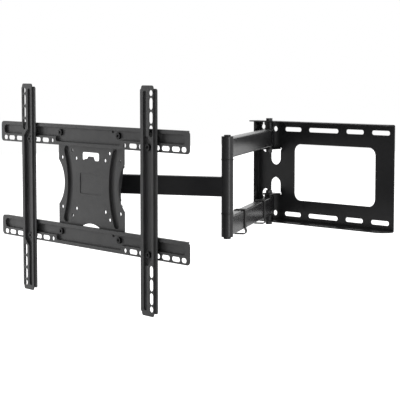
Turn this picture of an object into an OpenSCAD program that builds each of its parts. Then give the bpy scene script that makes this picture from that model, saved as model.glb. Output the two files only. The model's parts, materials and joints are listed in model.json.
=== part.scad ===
// Full motion wall mount for a flat screen, shown pulled out and turned.
// Frame: origin at the middle of the wall plate's back face, +X to the right along the wall
// as seen from the room, +Y into the wall, +Z up. Millimetres.

/* [Pose] */
// Direction of the two arms from the wall pivot, degrees from +X
arm_dir = -58; // [-62:1:-54]
// Direction of the forearm from the elbow, degrees from +X
fore_dir = -154; // [-158:1:-150]
// Yaw of the screen head about the vertical, degrees
tv_yaw = -5.5; // [-8:0.5:-3]

/* [Wall plate] */
// Width of the wall plate
wall_w = 386; // [380:2:400]
// Height of the wall plate over both flanges
wall_h = 224; // [220:1:230]
// Thickness of the wall plate's sheet
wall_t = 2.5; // [2:0.5:3]
// Depth of the top and bottom flanges, from the back face
flange_d = 32; // [32:1:38]
// Depth of the left flange, from the back face
side_flange_d = 17.5; // [16:0.5:18]
// Height of the mounting slot rows above and below the middle
slot_row = 94; // [92:1:96]
// Height of a mounting slot
wall_slot_h = 9.5; // [8:0.5:10]
// Distance of the wall pivot axis to the left of the plate's middle
pivot_left = 139; // [137:1:141]
// Distance of the wall pivot axis in front of the plate's back face
pivot_out = 24; // [23:1:26]

/* [Arms] */
// Distance from the wall pivot to the elbow
arm_len = 426; // [420:1:432]
// Distance from the elbow to the screen swivel
fore_len = 238; // [234:1:242]
// Height of the arm and forearm tubes
tube_h = 38; // [36:1:38]
// Width of the arm and forearm tubes
tube_w = 20; // [18:1:20]
// Wall thickness of the tubes
tube_t = 2; // [1.5:0.5:2.5]
// Height of the arm tubes' centre lines above and below the middle
arm_level = 75.5; // [74:0.5:76]
// Outer diameter of the round sleeves and knuckles
sleeve_d = 23; // [22:1:24]
// Height from the middle to the outer end of a knuckle
knuckle_top = 96.5; // [95:0.5:98]

/* [Cable clips] */
// Distance of each clip from the wall pivot, along the lower arm
clip_places = [108, 308];
// Length of a clip along the arm
clip_w = 14; // [10:1:16]
// Thickness of a clip's strap
clip_t = 2; // [1:0.5:2.5]
// Free height under the arm for cables
clip_gap = 9; // [8:1:14]

/* [Screen head] */
// Distance of the swivel axis behind the centre plate's front face
head_depth = 56; // [55:1:58]
// Distance of the tilt axis behind the centre plate's front face
tilt_depth = 26; // [25:1:27]
// Height of the tilt lock bolt above the tilt axis
lock_r = 40; // [39:1:41]
// Largest downward and upward tilt that the lock slots allow, degrees
tilt_travel = [15, 5];
// Half width of the centre plate at its top and bottom
plate_hw = 113; // [110:1:118]
// Half width of the centre plate at its waist
waist_hw = 92.5; // [91:0.5:94]
// Half height of the centre plate
plate_hh = 115; // [114:1:118]
// Thickness of the centre plate's sheet
plate_t = 2; // [2:0.5:3]

/* [Rails and brackets] */
// Length of a horizontal rail
rail_len = 645; // [640:5:650]
// Height of a horizontal rail
rail_h = 42; // [42:1:44]
// Depth of a rail
rail_d = 7.5; // [7:0.5:8]
// Length of a vertical bracket
bracket_len = 428; // [426:1:432]
// Width of a vertical bracket over its lips
bracket_w = 52; // [51:1:54]
// Depth of a vertical bracket
bracket_d = 8; // [7.5:0.5:8.5]
// Distance of each bracket's centre line from the middle
bracket_out = 207; // [206:1:208]
// Thickness of the rails' and brackets' sheet
press_t = 2; // [1.5:0.5:2.5]

/* [Hidden] */
$fn = 64;

paint = [0.12, 0.12, 0.125];
dark_paint = [0.07, 0.07, 0.075];
grey_paint = [0.22, 0.22, 0.225];
steel = [0.1, 0.1, 0.105];
nylon = [0.05, 0.05, 0.05];

// Running and standing gaps
run_gap = 0.06;
face_gap = 0.2;
weld_gap = 0.05;

// M8 fasteners
m8_r = 4;
m8_flats = 13;
m8_head_h = 6;
m8_nut_h = 6.8;
cap_head_r = 6.5;

// Joint axes in plan
pivot_xy = [-pivot_left, -pivot_out];
elbow_xy = pivot_xy + arm_len * [cos(arm_dir), sin(arm_dir)];
swivel_xy = elbow_xy + fore_len * [cos(fore_dir), sin(fore_dir)];

// Levels of the wall pivot stack
arm_bottom = arm_level - tube_h / 2;
arm_top = arm_level + tube_h / 2;
bush_flange_t = 1;
tab_z = 49;
flange_in = wall_h / 2 - wall_t;
side_flange_half = flange_in + 1;

// Sleeves
sleeve_r = sleeve_d / 2;
sleeve_bore_r = 8.5;
bush_len = 14;
elbow_seam = 52;
knuckle_bottom = elbow_seam + bush_flange_t + face_gap;
cap_t = 1;
swivel_half = 30;
lug_t = 4;
lug_top = swivel_half + bush_flange_t + face_gap + lug_t;

// Tilt parts
cheek_out = 44;
cheek_t = 4;
cheek_half = 40;
web_front = -38;
ear_in = cheek_out + face_gap;
ear_t = 4;
ear_out = ear_in + ear_t;
washer_t = 1.6;
knob_r = 10;
knob_len = 16;
waist_rise = 45;
waist_r = (pow(waist_rise, 2) + pow(plate_hw - waist_hw, 2)) / (2 * (plate_hw - waist_hw));
screen_hole_r = 3.25;

// Rails and brackets
rail_pitch = 100;
rail_drop = 4.2;
rail_bolt_s = 100;
strip_z = -13;
bracket_drop = rail_drop - strip_z;
bracket_bolt_s = 204;
rail_slots = [[150.8, 25.5], [181.2, 24.5], [223.6, 21.2], [251.7, 24.2], [281.7, 24.2], [305.5, 15]];
bracket_slots = [130, 155, 180.5];
bracket_face = bracket_w - 15;
lip_back = bracket_d - 3 - press_t;
groove_back = bracket_d - 5.5;

// ---- Frames ----

module at_arms() translate([pivot_xy.x, pivot_xy.y, 0]) rotate([0, 0, arm_dir]) children();

module at_forearm() translate([elbow_xy.x, elbow_xy.y, 0]) rotate([0, 0, fore_dir]) children();

// Origin on the swivel axis, X along the screen, -Y towards the room
module at_head() translate([swivel_xy.x, swivel_xy.y, 0]) rotate([0, 0, tv_yaw]) children();

// Origin on the centre plate's front face
module at_plate() at_head() translate([0, -head_depth, 0]) children();

// Origin on the tilt axis
module at_tilt() at_plate() translate([0, tilt_depth, 0]) children();

// Its children, above and mirrored below the middle
module both_levels() {
  children();
  mirror([0, 0, 1]) children();
}

module both_sides() {
  children();
  mirror([1, 0, 0]) children();
}

// ---- Shapes ----

// An outline in X and Z made into a sheet that starts d in front of Y = 0
module slab(d, t) translate([0, -d, 0]) rotate([90, 0, 0]) linear_extrude(t) children();

// An outline in Y and Z made into a piece that runs along X
module along_x(len) rotate([90, 0, 90]) linear_extrude(len) children();

module rounded(w, h, r) {
  square([w - 2 * r, h], center = true);
  square([w, h - 2 * r], center = true);
  for (x = [-1, 1], y = [-1, 1]) translate([x * (w / 2 - r), y * (h / 2 - r)]) circle(r);
}

module slot(len, h) {
  square([len - h, h], center = true);
  for (x = [-1, 1]) translate([x * (len - h) / 2, 0]) circle(h / 2);
}

module tube(r, bore, z0, z1) {
  translate([0, 0, z0]) difference() {
    cylinder(r = r, h = z1 - z0);
    translate([0, 0, -1]) cylinder(r = bore, h = z1 - z0 + 2);
  }
}

module hexagon(h) cylinder(r = m8_flats / 2 / cos(30), h = h, $fn = 6);

module nut() difference() {
  hexagon(m8_nut_h);
  translate([0, 0, -1]) cylinder(r = m8_r + weld_gap, h = m8_nut_h + 2);
}

module box_tube(len) {
  along_x(len) difference() {
    rounded(tube_w, tube_h, 3);
    rounded(tube_w - 2 * tube_t, tube_h - 2 * tube_t, 1.5);
  }
}

// A flanged bush that sits in a sleeve's end at height z, flange upwards
module bush(z, flange_r) {
  tube(sleeve_bore_r - weld_gap, m8_r + run_gap, z - bush_len, z);
  tube(flange_r, m8_r + run_gap, z, z + bush_flange_t);
}

// ---- Wall plate ----

module wall_profile() {
  reach = 4 * flange_d;
  intersection() {
    difference() {
      translate([-reach / 2, 0]) rounded(reach, wall_h, 4);
      translate([-reach / 2 - wall_t, 0]) rounded(reach, wall_h - 2 * wall_t, 1.5);
    }
    translate([-flange_d, -wall_h]) square([flange_d, 2 * wall_h]);
  }
}

// A cutout under a pivot tab: a rounded end towards the middle, and a corner relief at each fold end
module bullet() {
  tip = 14.2;
  fold = 50;
  half = 14.5;
  translate([-half, tip + half]) square([2 * half, fold - tip - half]);
  translate([0, tip + half]) circle(half);
  for (x = [-half, half]) translate([x, fold]) circle(2.5);
}

// The lower cutout's end comes to a blunt point
module pointed_bullet() {
  tip = 12.5;
  shoulder = 21;
  bullet();
  polygon([[-11, shoulder], [0, tip], [11, shoulder]]);
}

module wall_cuts() {
  window = [227, 124];
  window_x = 30;
  translate([window_x, 0]) rounded(window.x, window.y, 17);
  for (side = [-1, 1]) {
    for (place = [[-87.5, 48], [0, 84], [87.5, 48], [157, 48]]) {
      translate([place[0], side * slot_row]) slot(place[1], wall_slot_h);
    }
    translate([-140, side * slot_row]) circle(5.75);
    translate([-177, side * (slot_row + 4)]) circle(5.5);
    translate([-177, side * (slot_row + 9)]) square([5, 10], center = true);
    translate([-169, side * 52]) circle(11);
  }
  translate([-pivot_left, 0]) {
    bullet();
    mirror([0, 1]) pointed_bullet();
  }
}

// Rounds the free corner of the flanges at the right end
module flange_corner() {
  r = 26;
  difference() {
    translate([wall_w / 2 - r, -flange_d - 1, -wall_h]) cube([r + 1, r + 1, 2 * wall_h]);
    translate([wall_w / 2 - r, -flange_d + r, -wall_h]) cylinder(r = r, h = 2 * wall_h);
  }
}

module pivot_tab() {
  half = 15;
  translate([-pivot_left, -pivot_out, tab_z]) difference() {
    union() {
      translate([-half, 0, 0]) cube([2 * half, pivot_out - wall_t / 2, wall_t]);
      cylinder(r = half, h = wall_t);
    }
    translate([0, 0, -1]) cylinder(r = m8_r + 0.2, h = wall_t + 2);
  }
}

module wall_plate() color(paint) {
  difference() {
    translate([-wall_w / 2, 0, 0]) along_x(wall_w) wall_profile();
    translate([0, 1, 0]) slab(0, wall_t + 2) wall_cuts();
    flange_corner();
    both_levels() translate([-pivot_left, -pivot_out, flange_in - 1])
      cylinder(r = m8_r + 0.2, h = wall_t + 2);
  }
  translate([-wall_w / 2, -side_flange_d, -side_flange_half])
    cube([wall_t, side_flange_d - 1, 2 * side_flange_half]);
  both_levels() pivot_tab();
}

// ---- Wall pivots ----

module at_wall_pivot() translate([pivot_xy.x, pivot_xy.y, 0]) children();

module wall_pivot_bolts() color(steel) at_wall_pivot() both_levels() {
  translate([0, 0, wall_h / 2]) hexagon(m8_head_h);
  translate([0, 0, tab_z - m8_nut_h - 3]) cylinder(r = m8_r, h = wall_h / 2 - tab_z + m8_nut_h + 3);
}

module wall_pivot_nuts() color(steel) at_wall_pivot() both_levels() {
  translate([0, 0, tab_z - m8_nut_h]) nut();
}

module wall_spacers() color(steel) at_wall_pivot() both_levels()
  tube(9, m8_r + 0.2, arm_top + bush_flange_t + face_gap, flange_in);

module wall_washers() color(steel) at_wall_pivot() both_levels()
  tube(10, m8_r + 0.2, tab_z + wall_t, arm_bottom - bush_flange_t - face_gap);

// ---- Arms ----

module arm_tube() {
  difference() {
    box_tube(arm_len);
    for (x = [0, arm_len]) translate([x, 0, -tube_h]) cylinder(r = sleeve_r + weld_gap, h = 2 * tube_h);
  }
}

module upper_arm_tube() color(grey_paint) at_arms() translate([0, 0, arm_level]) arm_tube();

module lower_arm_tube() color(grey_paint) at_arms() translate([0, 0, -arm_level]) arm_tube();

module upper_wall_sleeve() color(paint) at_arms() tube(sleeve_r, sleeve_bore_r, arm_bottom, arm_top);

module lower_wall_sleeve() color(paint) at_arms() tube(sleeve_r, sleeve_bore_r, -arm_top, -arm_bottom);

module wall_bushes() color(nylon) at_arms() both_levels() {
  bush(arm_top, 10);
  translate([0, 0, 2 * arm_level]) mirror([0, 0, 1]) bush(arm_top, 10);
}

module at_elbow() translate([elbow_xy.x, elbow_xy.y, 0]) children();

module upper_knuckle() color(paint) at_elbow() tube(sleeve_r, sleeve_bore_r, knuckle_bottom, knuckle_top);

module lower_knuckle() color(paint) at_elbow() tube(sleeve_r, sleeve_bore_r, -knuckle_top, -knuckle_bottom);

module knuckle_plugs() color(steel) at_elbow() both_levels() {
  plug = 10;
  tube(sleeve_bore_r - weld_gap, m8_r + weld_gap, knuckle_bottom, knuckle_bottom + plug);
  tube(sleeve_bore_r - weld_gap, m8_r + weld_gap, knuckle_top - plug, knuckle_top);
}

module elbow_caps() color(nylon) at_elbow() both_levels()
  tube(sleeve_r, m8_r + weld_gap, knuckle_top, knuckle_top + cap_t);

module elbow_bolt() color(steel) at_elbow() {
  end = knuckle_top + cap_t;
  translate([0, 0, -end - 3]) cylinder(r = m8_r, h = 2 * end + 3);
  translate([0, 0, end]) difference() {
    cylinder(r = cap_head_r, h = 2.8);
    translate([0, 0, 1]) cylinder(r = 2.9, h = 3, $fn = 6);
  }
}

module elbow_nut() color(steel) at_elbow() {
  top = -knuckle_top - cap_t;
  translate([0, 0, top - 4]) difference() {
    hexagon(4);
    translate([0, 0, 1]) cylinder(r = m8_r + weld_gap, h = 4);
  }
}

// ---- Cable clips ----

module cable_clip(place) {
  inner_w = tube_w + 2 * face_gap;
  inner_top = -arm_bottom + face_gap;
  inner_bottom = -arm_top - clip_gap;
  inner_h = inner_top - inner_bottom;
  module outline(grow) {
    translate([0, (inner_top + inner_bottom) / 2]) rounded(inner_w + 2 * grow, inner_h + 2 * grow, 2 + grow);
    translate([0, inner_bottom + clip_gap / 2])
      rounded(inner_w + 3 + 2 * grow, clip_gap + 2 * grow, 4 + grow);
  }
  at_arms() translate([place - clip_w / 2, 0, 0]) along_x(clip_w) difference() {
    outline(clip_t);
    outline(0);
  }
}

module inner_cable_clip() color(nylon) cable_clip(clip_places[0]);

module outer_cable_clip() color(nylon) cable_clip(clip_places[1]);

// ---- Forearm ----

module forearm_tube() color(dark_paint) at_forearm() difference() {
  box_tube(fore_len);
  for (x = [0, fore_len]) translate([x, 0, -tube_h]) cylinder(r = sleeve_r + weld_gap, h = 2 * tube_h);
}

module elbow_sleeve() color(paint) at_elbow() tube(sleeve_r, sleeve_bore_r, -elbow_seam, elbow_seam);

module elbow_bushes() color(nylon) at_elbow() both_levels() bush(elbow_seam, sleeve_r + 1);

module swivel_sleeve() color(paint) at_head() tube(sleeve_r, sleeve_bore_r, -swivel_half, swivel_half);

module swivel_bushes() color(nylon) at_head() both_levels() bush(swivel_half, sleeve_r);

// ---- Swivel yoke ----

module yoke_lug() {
  half = 15;
  web_gap = head_depth + web_front - cheek_t;
  translate([0, 0, lug_top - lug_t]) difference() {
    union() {
      cylinder(r = half, h = lug_t);
      translate([-half, -web_gap - 1, 0]) cube([2 * half, web_gap + 1, lug_t]);
    }
    translate([0, 0, -1]) cylinder(r = m8_r + 0.1, h = lug_t + 2);
  }
}

// Side of the yoke in Y and Z, with Y measured back from the centre plate's front face
module cheek_side() {
  translate([tilt_depth, 0]) circle(13);
  translate([tilt_depth, lock_r]) circle(7);
  translate([tilt_depth - 8, 0]) square([8 - web_front - tilt_depth + 1, lock_r]);
  translate([tilt_depth, -cheek_half]) square([1 - web_front - tilt_depth, 2 * cheek_half]);
}

module swivel_yoke() color(dark_paint) {
  at_plate() slab(web_front - cheek_t, cheek_t) rounded(2 * cheek_out, 2 * cheek_half, 3);
  at_plate() both_sides() difference() {
    translate([cheek_out - cheek_t, 0, 0]) along_x(cheek_t) cheek_side();
    for (z = [0, lock_r]) translate([0, tilt_depth, z]) rotate([0, 90, 0])
      cylinder(r = m8_r + 0.1, h = 2 * cheek_out);
  }
  at_head() both_levels() yoke_lug();
}

module swivel_bolt() color(steel) at_head() {
  translate([0, 0, lug_top]) hexagon(m8_head_h);
  translate([0, 0, -lug_top - m8_nut_h - 2]) cylinder(r = m8_r, h = 2 * lug_top + m8_nut_h + 2);
}

module swivel_nut() color(steel) at_head() {
  translate([0, 0, -lug_top - m8_nut_h]) nut();
}

// ---- Tilt hinge and lock ----

// A cross bolt through both cheeks and both ears, its head at the left
module cross_bolt(right_end) {
  left_end = ear_out + face_gap + washer_t;
  translate([-left_end, 0, 0]) rotate([0, 90, 0]) cylinder(r = m8_r, h = left_end + right_end);
  translate([-left_end, 0, 0]) rotate([0, -90, 0]) hexagon(m8_head_h);
}

module tilt_bolt() color(steel) at_tilt() cross_bolt(ear_out + face_gap + washer_t + m8_nut_h + 2);

module tilt_nut() color(steel) at_tilt()
  translate([ear_out + face_gap + washer_t, 0, 0]) rotate([0, 90, 0]) nut();

module tilt_lock_bolt() color(steel) at_tilt() translate([0, 0, lock_r])
  cross_bolt(ear_out + face_gap + washer_t + knob_len - 6);

module tilt_washers() color(steel) at_tilt() both_sides() for (z = [0, lock_r])
  translate([ear_out + face_gap, 0, z]) rotate([0, 90, 0]) tube(8, m8_r + weld_gap, 0, washer_t);

module tilt_knob() color(nylon) at_tilt()
  translate([ear_out + face_gap + washer_t, 0, lock_r]) rotate([0, 90, 0]) difference() {
    cylinder(r = knob_r, h = knob_len);
    translate([0, 0, -1]) cylinder(r = m8_r + weld_gap, h = knob_len - 5);
    for (a = [0 : 45 : 315]) rotate([0, 0, a]) translate([knob_r + 1, 0, 4]) cylinder(r = 2.2, h = knob_len);
  }

// A slot of half width w along an arc of radius r, from a0 to a1 degrees round from +Z towards +Y
module arc_slot(r, w, a0, a1) {
  far = 2 * r;
  intersection() {
    difference() {
      circle(r + w);
      circle(r - w);
    }
    polygon([[0, 0], far * [sin(a0), cos(a0)], far * [sin(a1), cos(a1)]]);
  }
  for (a = [a0, a1]) translate(r * [sin(a), cos(a)]) circle(w);
}

// Side of an ear in Y and Z, from the tilt axis
module ear_side() {
  foot = plate_t - tilt_depth;
  polygon([
    [foot, -46], [foot, lock_r + 4.5], [-8, lock_r + 7], [10, lock_r + 6], [20, lock_r - 4],
    [15, 0], [4, -14.5], [foot + 10, -46]
  ]);
  circle(15);
}

module tilt_bracket() color(dark_paint) {
  at_plate() slab(-plate_t - ear_t, ear_t) difference() {
    translate([0, -0.75]) square([2 * ear_out, 90.5], center = true);
    plate_holes();
    plate_openings();
  }
  at_tilt() both_sides() translate([ear_in, 0, 0]) difference() {
    along_x(ear_t) difference() {
      ear_side();
      arc_slot(lock_r, m8_r + 0.3, -tilt_travel[1] - 0.5, tilt_travel[0] + 0.5);
    }
    translate([-1, 0, 0]) rotate([0, 90, 0]) cylinder(r = m8_r + run_gap, h = ear_t + 2);
  }
}

// ---- Centre plate ----

module plate_outline() difference() {
  rounded(2 * plate_hw, 2 * plate_hh, 6);
  for (x = [-1, 1]) translate([x * (waist_hw + waist_r), 0]) circle(waist_r);
}

// The curved grooves beside the waist, widened by grow for their walls
module plate_grooves(grow) {
  arc_r = 171;
  far = -2 * arc_r;
  waist_x = 71.3;
  half_w = 9.2 + grow;
  low_a = -24.5;
  top_a = 22;
  for (x = [-1, 1]) translate([x * (waist_x + arc_r), 0]) {
    intersection() {
      difference() {
        circle(arc_r + half_w);
        circle(arc_r - half_w);
      }
      polygon([[0, 0], far * [x * cos(low_a), sin(-low_a)], far * [x * cos(top_a), -sin(top_a)]]);
    }
    for (a = [low_a, top_a]) translate(arc_r * [-x * cos(a), sin(a)]) circle(half_w);
  }
}

module plate_holes() {
  for (place = [[50, 50], [64.5, 64.5], [100, 50]], x = [-1, 1], y = [-1, 1]) {
    translate([x * place.x, y * place.y]) circle(screen_hole_r);
  }
}

// The hand slot with its tongue, and the crescent at the bottom
module plate_openings() {
  difference() {
    translate([0, 55.5]) rounded(58, 16, 4.5);
    polygon([[-15, 46], [-8, 55.5], [8, 55.5], [15, 46]]);
  }
  intersection() {
    translate([0, -150]) circle(73);
    translate([-29, -100]) square([58, 30]);
  }
}

module centre_plate() color(grey_paint) at_plate() difference() {
  pressed(0, -7, plate_t) {
    plate_outline();
    plate_grooves(0);
    plate_grooves(2);
  }
  slab(-plate_t - 1, plate_t + 2) {
    plate_holes();
    plate_openings();
    for (x = [-1, 1], y = [-1, 1]) translate([x * rail_bolt_s, y * rail_pitch]) circle(m8_r + 0.2);
  }
  slab(-1.2, 3) translate([0, 1.5]) rounded(74, 41, 3);
}

// A pressed sheet: children 0 its outline, 1 the recess, 2 the recess with its walls
module pressed(front, floor_back, t) difference() {
  union() {
    slab(front - t, t) children(0);
    slab(floor_back, front - floor_back) children(2);
  }
  slab(floor_back + t, front - floor_back + t) children(1);
}

// ---- Rails ----

module rail_recess(grow) {
  translate([0, 5]) rounded(rail_len - 24 + 2 * grow, 18 + 2 * grow, 8 + grow);
  rounded(224 + 2 * grow, 28 + 2 * grow, 5 + grow);
}

module rail_holes() {
  for (x = [-1, 1]) {
    for (place = rail_slots) translate([x * place[0], strip_z]) slot(place[1], 9);
    translate([x * 125, strip_z]) circle(4);
    translate([x * bracket_bolt_s, strip_z]) circle(m8_r + 0.2);
    translate([x * rail_bolt_s, rail_drop]) circle(m8_r + 0.2);
  }
  translate([80, 11]) square([7, 4], center = true);
}

module rail(level) color(grey_paint) at_plate() translate([0, 0, level - rail_drop]) difference() {
  union() {
    pressed(rail_d, 0, press_t) {
      rounded(rail_len, rail_h, 8);
      rail_recess(0);
      rail_recess(press_t);
    }
    slab(0, rail_d) translate([0, rail_h / 2 - press_t / 2]) square([rail_len - 18, press_t], center = true);
  }
  slab(-1, rail_d + 2) rail_holes();
}

module upper_rail() rail(rail_pitch);

module lower_rail() rail(-rail_pitch);

// ---- Brackets ----

// The narrow groove beside the slots, towards both ends
module bracket_groove(grow) translate([-7.5, 0])
  rounded(10 + 2 * grow, bracket_len - 20 + 2 * grow, 4.5 + grow);

// The wide recess between the rails, which holds the bolts
module bracket_recess(grow) {
  turn = 0.4 * grow;
  polygon([
    [-12.5 - grow, -120], [0, -120 - turn], [12.5 + grow, -108 - turn],
    [12.5 + grow, 108 + turn], [0, 120 + turn], [-12.5 - grow, 120]
  ]);
}

module bracket_holes() {
  slot_u = 11;
  for (z = [-1, 1]) {
    for (place = bracket_slots) translate([slot_u, z * place]) rotate(90) slot(22, 11);
    translate([slot_u, z * 200]) circle(5.5);
    translate([bracket_bolt_s - bracket_out, z * rail_pitch]) circle(m8_r + 0.2);
  }
}

// The set back lips along both long edges, and the webs that carry them
module bracket_lips() {
  lip_len = bracket_len - 12;
  slab(lip_back, press_t) difference() {
    rounded(bracket_w, lip_len, 4);
    square([bracket_face - 2 * press_t, lip_len], center = true);
  }
  for (x = [-1, 1]) slab(lip_back, bracket_d - lip_back)
    translate([x * (bracket_face - press_t) / 2, 0]) square([press_t, lip_len], center = true);
}

// The right bracket about its own centre, its outer side towards +X
module bracket() translate([0, -rail_d, 0]) difference() {
  union() {
    slab(bracket_d - press_t, press_t) rounded(bracket_face, bracket_len, 5);
    slab(groove_back, bracket_d - groove_back) bracket_groove(press_t);
    slab(0, bracket_d) bracket_recess(press_t);
    bracket_lips();
  }
  slab(groove_back + press_t, bracket_d) bracket_groove(0);
  slab(press_t, bracket_d) bracket_recess(0);
  slab(-1, bracket_d + 2) bracket_holes();
}

module right_bracket() color(grey_paint) at_plate() translate([bracket_out, 0, -bracket_drop]) bracket();

module left_bracket() color(grey_paint) at_plate()
  translate([-bracket_out, 0, -bracket_drop]) mirror([1, 0, 0]) bracket();

// ---- Rail and bracket fasteners ----

// Repeats its children at four corners, x from the middle and z about the middle height
module at_corners(x, z) for (i = [-1, 1], k = [-1, 1]) translate([i * x, 0, k * z]) children();

// A low headed bolt along Y, its head standing from d forwards and its end at d_end
module button_bolt(d, d_end) {
  rotate([90, 0, 0]) translate([0, 0, d_end]) cylinder(r = m8_r, h = d - d_end);
  rotate([90, 0, 0]) translate([0, 0, d]) difference() {
    cylinder(r = cap_head_r, h = 3.8);
    translate([0, 0, 1.5]) cylinder(r = 2.9, h = 3, $fn = 6);
  }
}

module rail_bolts() color(steel) at_plate() at_corners(rail_bolt_s, rail_pitch)
  button_bolt(press_t, -plate_t - m8_nut_h - 1);

module rail_nuts() color(steel) at_plate() at_corners(rail_bolt_s, rail_pitch)
  translate([0, plate_t, 0]) rotate([-90, 0, 0]) nut();

module bracket_bolts() color(steel) at_plate()
  translate([0, 0, -bracket_drop]) at_corners(bracket_bolt_s, rail_pitch)
  button_bolt(rail_d + press_t, rail_d - press_t - m8_nut_h - 1);

module bracket_nuts() color(steel) at_plate()
  translate([0, 0, -bracket_drop]) at_corners(bracket_bolt_s, rail_pitch)
  translate([0, press_t - rail_d, 0]) rotate([-90, 0, 0]) nut();

// ---- Parts ----

wall_plate();
wall_pivot_bolts();
wall_pivot_nuts();
wall_spacers();
wall_washers();
upper_arm_tube();
lower_arm_tube();
upper_wall_sleeve();
lower_wall_sleeve();
wall_bushes();
upper_knuckle();
lower_knuckle();
knuckle_plugs();
elbow_bolt();
elbow_nut();
elbow_caps();
inner_cable_clip();
outer_cable_clip();
forearm_tube();
elbow_sleeve();
elbow_bushes();
swivel_sleeve();
swivel_bushes();
swivel_yoke();
swivel_bolt();
swivel_nut();
tilt_bolt();
tilt_nut();
tilt_lock_bolt();
tilt_washers();
tilt_knob();
centre_plate();
tilt_bracket();
upper_rail();
lower_rail();
left_bracket();
right_bracket();
rail_bolts();
rail_nuts();
bracket_bolts();
bracket_nuts();
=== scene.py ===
"""Looks of the full motion wall mount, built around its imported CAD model."""

import json
import math

import bmesh
import bpy
from mathutils import Matrix, Vector


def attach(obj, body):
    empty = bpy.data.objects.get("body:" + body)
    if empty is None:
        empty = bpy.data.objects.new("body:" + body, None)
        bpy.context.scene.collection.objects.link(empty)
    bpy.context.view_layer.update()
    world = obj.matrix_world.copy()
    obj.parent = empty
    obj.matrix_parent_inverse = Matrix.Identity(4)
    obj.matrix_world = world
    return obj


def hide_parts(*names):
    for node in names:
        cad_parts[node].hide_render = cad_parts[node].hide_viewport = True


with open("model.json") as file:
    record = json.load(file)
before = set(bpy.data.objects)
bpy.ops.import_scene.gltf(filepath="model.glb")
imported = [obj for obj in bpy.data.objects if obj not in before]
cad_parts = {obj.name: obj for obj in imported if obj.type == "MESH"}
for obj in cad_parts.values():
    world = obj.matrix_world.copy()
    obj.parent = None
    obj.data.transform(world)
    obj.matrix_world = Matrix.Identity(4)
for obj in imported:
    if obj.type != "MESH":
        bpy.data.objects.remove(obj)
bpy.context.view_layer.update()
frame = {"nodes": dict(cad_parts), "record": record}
NODES = frame["nodes"]
RECORD = frame["record"]
SLOTS = {row["node"]: row["material_slot"] for row in RECORD["subparts"]}
BODIES = {node: body for body, names in RECORD["behaviour"]["bodies"].items() for node in names}
MM = 0.001

# ---- Materials ----

AO_SAMPLES = 8
BEVEL_SAMPLES = 4
NONE = (0, 0, 0)
SPECKS = (0.35, 0.35, 0.35)
RUBBED_NYLON = (0.08, 0.08, 0.08)


def new_material(name):
    """An empty node material with its shader."""
    mat = bpy.data.materials.new(name)
    mat.use_nodes = True
    tree = mat.node_tree
    tree.nodes.clear()
    out = tree.nodes.new("ShaderNodeOutputMaterial")
    shader = tree.nodes.new("ShaderNodeBsdfPrincipled")
    tree.links.new(shader.outputs[0], out.inputs["Surface"])
    return mat, tree, shader


def noise(tree, coords, scale, detail=4.0, rough=0.55):
    """Noise from 0 to 1, with scale features to a metre."""
    node = tree.nodes.new("ShaderNodeTexNoise")
    node.inputs["Scale"].default_value = scale
    node.inputs["Detail"].default_value = detail
    node.inputs["Roughness"].default_value = rough
    tree.links.new(coords, node.inputs["Vector"])
    return node.outputs["Fac"]


def ramp(tree, value, low, high, colors):
    """A colour that goes from the first to the second as value goes from low to high."""
    node = tree.nodes.new("ShaderNodeValToRGB")
    node.color_ramp.elements[0].position = low
    node.color_ramp.elements[1].position = high
    node.color_ramp.elements[0].color = (*colors[0], 1)
    node.color_ramp.elements[1].color = (*colors[1], 1)
    tree.links.new(value, node.inputs["Fac"])
    return node.outputs["Color"]


def spread(tree, value, low, high, start=0.3, end=0.7):
    """Goes from low to high as value goes from start to end."""
    node = tree.nodes.new("ShaderNodeMapRange")
    node.inputs["From Min"].default_value = start
    node.inputs["From Max"].default_value = end
    node.inputs["To Min"].default_value = low
    node.inputs["To Max"].default_value = high
    tree.links.new(value, node.inputs["Value"])
    return node.outputs["Result"]


def math_node(tree, operation, a, b):
    """One operation on two sockets or plain numbers."""
    node = tree.nodes.new("ShaderNodeMath")
    node.operation = operation
    for socket, value in zip(node.inputs, (a, b)):
        if isinstance(value, float):
            socket.default_value = value
        else:
            tree.links.new(value, socket)
    return node.outputs[0]


def mix(tree, factor, a, b):
    """Colour a where factor is 0 and colour b where it is 1."""
    node = tree.nodes.new("ShaderNodeMix")
    node.data_type = "RGBA"
    tree.links.new(factor, node.inputs["Factor"])
    for socket, value in ((node.inputs[6], a), (node.inputs[7], b)):
        if isinstance(value, tuple):
            socket.default_value = (*value, 1)
        else:
            tree.links.new(value, socket)
    return node.outputs[2]


def hollows(tree, reach):
    """1 on open surfaces, falling to 0 in grooves and gaps within reach; the mask for painted shade."""
    node = tree.nodes.new("ShaderNodeAmbientOcclusion")
    node.samples = AO_SAMPLES
    node.inputs["Distance"].default_value = reach
    return node.outputs["AO"]


def edge_wear(tree, coords, radius):
    """Above 0 along outer edges, broken up by noise."""
    bevel = tree.nodes.new("ShaderNodeBevel")
    bevel.samples = BEVEL_SAMPLES
    bevel.inputs["Radius"].default_value = radius
    flat = tree.nodes.new("ShaderNodeNewGeometry").outputs["True Normal"]
    dot = tree.nodes.new("ShaderNodeVectorMath")
    dot.operation = "DOT_PRODUCT"
    tree.links.new(bevel.outputs[0], dot.inputs[0])
    tree.links.new(flat, dot.inputs[1])
    bent = spread(tree, dot.outputs["Value"], 1.0, 0.0, 0.82, 0.99)
    patches = spread(tree, noise(tree, coords, 45.0, 6.0, 0.7), 0.0, 1.0, 0.42, 0.62)
    return math_node(tree, "MULTIPLY", bent, patches)


def grain_bump(tree, coords, shader, strength, depth, fine, coarse):
    """Fine grain over a slow orange peel."""
    height = math_node(tree, "ADD", noise(tree, coords, fine, 2.0), noise(tree, coords, coarse, 3.0))
    bump = tree.nodes.new("ShaderNodeBump")
    bump.inputs["Strength"].default_value = strength
    bump.inputs["Distance"].default_value = depth
    tree.links.new(height, bump.inputs["Height"])
    tree.links.new(bump.outputs[0], shader.inputs["Normal"])


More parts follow.
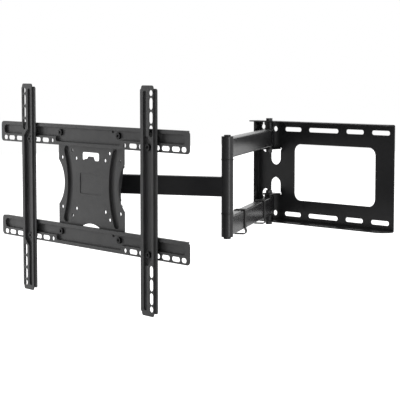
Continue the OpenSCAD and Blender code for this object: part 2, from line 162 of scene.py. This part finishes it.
def powder_coat(name, base, rough, grain=0.35, uneven=0.035, specular=0.5, reach=6 * MM, shade_strength=0.9):
    """Fine textured powder coat with mottled colour, pale specks, uneven gloss and rubbed edges.

    Hollows within reach get painted shade, going darker, and duller, as far as the last argument says.
    """
    mat, tree, shader = new_material(name)
    coords = tree.nodes.new("ShaderNodeTexCoord").outputs["Object"]
    dark = tuple(c * 0.84 for c in base)
    light = tuple(c * 1.14 for c in base)
    body = ramp(tree, noise(tree, coords, 24.0), 0.35, 0.65, (dark, light))
    specks = ramp(tree, noise(tree, coords, 700.0, 2.0), 0.45, 0.72, (NONE, SPECKS))
    body = mix(tree, specks, body, tuple(min(1.0, c * 1.7 + 0.004) for c in base))
    worn = tuple(min(1.0, c * 3.0 + 0.03) for c in base)
    rubbed = math_node(tree, "MULTIPLY", edge_wear(tree, coords, 0.9 * MM), 0.5)
    body = mix(tree, rubbed, body, worn)
    # painted shade: ambient occlusion darkens the base colour in grooves and gaps, standing in for their
    # shadow
    hollow_shade = spread(tree, hollows(tree, reach), shade_strength, 0.0, 0.35, 0.92)
    body = mix(tree, hollow_shade, body, tuple(c * 0.12 for c in base))
    tree.links.new(body, shader.inputs["Base Color"])
    gloss = spread(tree, noise(tree, coords, 55.0), rough - uneven, rough + uneven)
    gloss = math_node(tree, "ADD", gloss, math_node(tree, "MULTIPLY", hollow_shade, 0.3))
    tree.links.new(gloss, shader.inputs["Roughness"])
    grain_bump(tree, coords, shader, grain, 0.12 * MM, 1100.0, 260.0)
    shader.inputs["Specular IOR Level"].default_value = specular
    return mat


def black_oxide(name, base, rough):
    """Blackened steel of bolts and nuts, with a brushed look, bright spots on its edges and painted shade in
    its hollows.
    """
    mat, tree, shader = new_material(name)
    coords = tree.nodes.new("ShaderNodeTexCoord").outputs["Object"]
    tones = (tuple(c * 0.7 for c in base), tuple(c * 1.4 for c in base))
    body = ramp(tree, noise(tree, coords, 120.0), 0.3, 0.7, tones)
    bright = tuple(c * 6.0 + 0.05 for c in base)
    body = mix(tree, math_node(tree, "MULTIPLY", edge_wear(tree, coords, 0.6 * MM), 0.6), body, bright)
    # painted shade: ambient occlusion darkens the base colour in hollows, standing in for their shadow
    hollow_shade = spread(tree, hollows(tree, 6 * MM), 0.8, 0.0, 0.3, 0.95)
    body = mix(tree, hollow_shade, body, tuple(c * 0.1 for c in base))
    tree.links.new(body, shader.inputs["Base Color"])
    gloss = spread(tree, noise(tree, coords, 400.0), rough - 0.08, rough + 0.08)
    tree.links.new(gloss, shader.inputs["Roughness"])
    shader.inputs["Metallic"].default_value = 0.6
    grain_bump(tree, coords, shader, 0.2, 0.08 * MM, 1500.0, 500.0)
    return mat


def moulded_nylon(name, base, rough):
    """Black moulded nylon with a fine spark-eroded grain."""
    mat, tree, shader = new_material(name)
    coords = tree.nodes.new("ShaderNodeTexCoord").outputs["Object"]
    tones = (tuple(c * 0.8 for c in base), tuple(c * 1.2 for c in base))
    body = ramp(tree, noise(tree, coords, 40.0), 0.3, 0.7, tones)
    rubbed = math_node(tree, "MULTIPLY", edge_wear(tree, coords, 0.8 * MM), 0.5)
    body = mix(tree, rubbed, body, RUBBED_NYLON)
    tree.links.new(body, shader.inputs["Base Color"])
    gloss = spread(tree, noise(tree, coords, 250.0), rough - 0.05, rough + 0.08)
    tree.links.new(gloss, shader.inputs["Roughness"])
    grain_bump(tree, coords, shader, 0.3, 0.1 * MM, 1200.0, 300.0)
    return mat


MATERIALS = {
    "black_paint": powder_coat("black_paint", (0.012, 0.012, 0.013), 0.36),
    "arm_paint": powder_coat("arm_paint", (0.022, 0.022, 0.023), 0.25, grain=0.1, uneven=0.012),
    "dark_paint": powder_coat("dark_paint", (0.008, 0.008, 0.009), 0.38, specular=0.4),
    "grey_paint": powder_coat("grey_paint", (0.05, 0.05, 0.051), 0.42, reach=4 * MM, shade_strength=0.35),
    "black_steel": black_oxide("black_steel", (0.02, 0.02, 0.021), 0.4),
    "black_nylon": moulded_nylon("black_nylon", (0.014, 0.014, 0.014), 0.45),
}

# ---- Pieces ----

SAME_PLACE = 1e-6
FLAT_ANGLE = math.radians(0.6)
SHARP_ANGLE = math.radians(32)
EDGE_SEGMENTS = 2


def stand_for(piece, *nodes):
    """Puts a new piece in place of CAD nodes of one body, with their finish."""
    bpy.context.scene.collection.objects.link(piece)
    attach(piece, BODIES[nodes[0]])
    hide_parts(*nodes)
    piece.data.materials.clear()
    piece.data.materials.append(MATERIALS[SLOTS[nodes[0]]])


def baked(piece):
    """The piece's mesh with its modifiers applied."""
    bpy.context.scene.collection.objects.link(piece)
    graph = bpy.context.evaluated_depsgraph_get()
    mesh = bpy.data.meshes.new_from_object(piece.evaluated_get(graph))
    bpy.data.objects.remove(piece)
    return mesh


def soften(name, width):
    """A copy of a CAD node whose edges are rounded by width."""
    mesh = NODES[name].data.copy()
    if "custom_normal" in mesh.attributes:
        mesh.attributes.remove(mesh.attributes["custom_normal"])
    shape = bmesh.new()
    shape.from_mesh(mesh)
    bmesh.ops.remove_doubles(shape, verts=shape.verts, dist=SAME_PLACE)
    bmesh.ops.dissolve_limit(shape, angle_limit=FLAT_ANGLE, verts=shape.verts, edges=shape.edges)
    shape.to_mesh(mesh)
    shape.free()
    mesh.shade_smooth()
    piece = bpy.data.objects.new(name + "_blank", mesh)
    bevel = piece.modifiers.new("edges", "BEVEL")
    bevel.width = width
    bevel.segments = EDGE_SEGMENTS
    bevel.limit_method = "ANGLE"
    bevel.angle_limit = SHARP_ANGLE
    bevel.use_clamp_overlap = False
    bevel.harden_normals = True
    bevel.miter_outer = "MITER_ARC"
    PIECES[name] = bpy.data.objects.new(name + "_piece", baked(piece))
    stand_for(PIECES[name], name)


PIECES = {}
ROUNDED = {
    0.5 * MM: [
        "wall_plate", "upper_arm_tube", "lower_arm_tube", "forearm_tube", "swivel_yoke", "tilt_bracket",
    ],
    0.45 * MM: ["centre_plate", "upper_rail", "lower_rail", "left_bracket", "right_bracket"],
    0.4 * MM: ["inner_cable_clip", "outer_cable_clip", "tilt_knob"],
    0.3 * MM: [
        "upper_knuckle", "lower_knuckle", "elbow_sleeve", "swivel_sleeve",
        "upper_wall_sleeve", "lower_wall_sleeve", "elbow_caps", "elbow_bolt", "elbow_nut",
        "wall_pivot_bolts", "wall_pivot_nuts", "swivel_bolt", "swivel_nut", "tilt_bolt", "tilt_nut",
        "tilt_lock_bolt", "rail_bolts", "rail_nuts", "bracket_bolts", "bracket_nuts",
    ],
}

for width, names in ROUNDED.items():
    for name in names:
        soften(name, width)

for name, node in NODES.items():
    node.data.materials.clear()
    node.data.materials.append(MATERIALS[SLOTS[name]])

# ---- Camera, light and floor ----

LENS = 127.5
CAMERA_AT = Vector((2.003, -2.329, 0.2274))
VIEW_YAW = math.radians(45.7)
VIEW_PITCH = math.radians(5.3)
WHITE = (1, 1, 1, 1)
FRONT_LIGHT = 0.16
BACK_LIGHT = 1.0
TOP_LIGHT = 0.3
FLOOR_HALF = 9.0
FLOOR_Z = -0.6
FLOOR_GLOW = 0.75
HEAD = ["screen_head"]
BEHIND_HEAD = ["wall", "arms", "forearm", "yoke"]


def add_camera():
    data = bpy.data.cameras.new("camera")
    data.sensor_width = 36.0
    data.lens = LENS
    camera = bpy.data.objects.new("camera", data)
    camera.matrix_world = (
        Matrix.Translation(CAMERA_AT)
        @ Matrix.Rotation(VIEW_YAW, 4, "Z")
        @ Matrix.Rotation(math.pi / 2 - VIEW_PITCH, 4, "X")
    )
    bpy.context.scene.collection.objects.link(camera)
    bpy.context.scene.camera = camera


def area_light(name, at, aim, size, power, bodies):
    """A softbox that lights only the pieces on the named bodies."""
    data = bpy.data.lights.new(name, "AREA")
    data.shape = "RECTANGLE"
    data.size, data.size_y = size
    data.energy = power
    light = bpy.data.objects.new(name, data)
    at, aim = Vector(at), Vector(aim)
    light.matrix_world = Matrix.Translation(at) @ (at - aim).to_track_quat("Z", "Y").to_matrix().to_4x4()
    light.visible_camera = False
    lit = bpy.data.collections.new(name + "_lit")
    for node, piece in {**NODES, **PIECES}.items():
        if BODIES[node] in bodies:
            lit.objects.link(piece)
    light.light_linking.receiver_collection = lit
    bpy.context.scene.collection.objects.link(light)


def add_world():
    """A white backdrop whose light is strong from the wall's side and from above, and weak from the front."""
    world = bpy.data.worlds.new("studio")
    world.use_nodes = True
    tree = world.node_tree
    background = tree.nodes["Background"]
    way = tree.nodes.new("ShaderNodeTexCoord").outputs["Generated"]
    axes = tree.nodes.new("ShaderNodeSeparateXYZ")
    tree.links.new(way, axes.inputs[0])
    behind = spread(tree, axes.outputs["Y"], FRONT_LIGHT, BACK_LIGHT, -0.35, 0.35)
    above = spread(tree, axes.outputs["Z"], 0.0, TOP_LIGHT, 0.1, 0.9)
    light = math_node(tree, "ADD", behind, above)
    seen = tree.nodes.new("ShaderNodeLightPath").outputs["Is Camera Ray"]
    strength = math_node(tree, "MAXIMUM", seen, light)
    tree.links.new(strength, background.inputs["Strength"])
    background.inputs["Color"].default_value = WHITE
    bpy.context.scene.world = world


def add_floor():
    """A pale matt floor, which glows a little for the camera alone."""
    mesh = bpy.data.meshes.new("floor")
    corners = [(-1, -1), (1, -1), (1, 1), (-1, 1)]
    mesh.from_pydata([(x * FLOOR_HALF, y * FLOOR_HALF, FLOOR_Z) for x, y in corners], [], [(0, 1, 2, 3)])
    floor = bpy.data.objects.new("floor", mesh)
    bpy.context.scene.collection.objects.link(floor)
    mat, tree, shader = new_material("floor")
    shader.inputs["Base Color"].default_value = (0.9, 0.9, 0.9, 1)
    shader.inputs["Roughness"].default_value = 0.9
    shader.inputs["Emission Color"].default_value = WHITE
    seen = tree.nodes.new("ShaderNodeLightPath").outputs["Is Camera Ray"]
    glow = math_node(tree, "MULTIPLY", seen, FLOOR_GLOW)
    tree.links.new(glow, shader.inputs["Emission Strength"])
    mesh.materials.append(mat)


add_camera()
add_world()
add_floor()
area_light("left_softbox", (-1.05, -0.85, 0.1), (-0.35, -0.5, 0), (0.3, 1.0), 1.15, HEAD)
area_light("left_fill", (-1.05, -1.35, 0.5), (-0.3, -0.5, 0), (0.3, 0.6), 1.4, HEAD)
area_light("right_strip", (2.1, -0.62, 0.1), (0.087, -0.385, 0), (0.35, 1.4), 14, BEHIND_HEAD)
bpy.context.scene.view_settings.view_transform = "Standard"
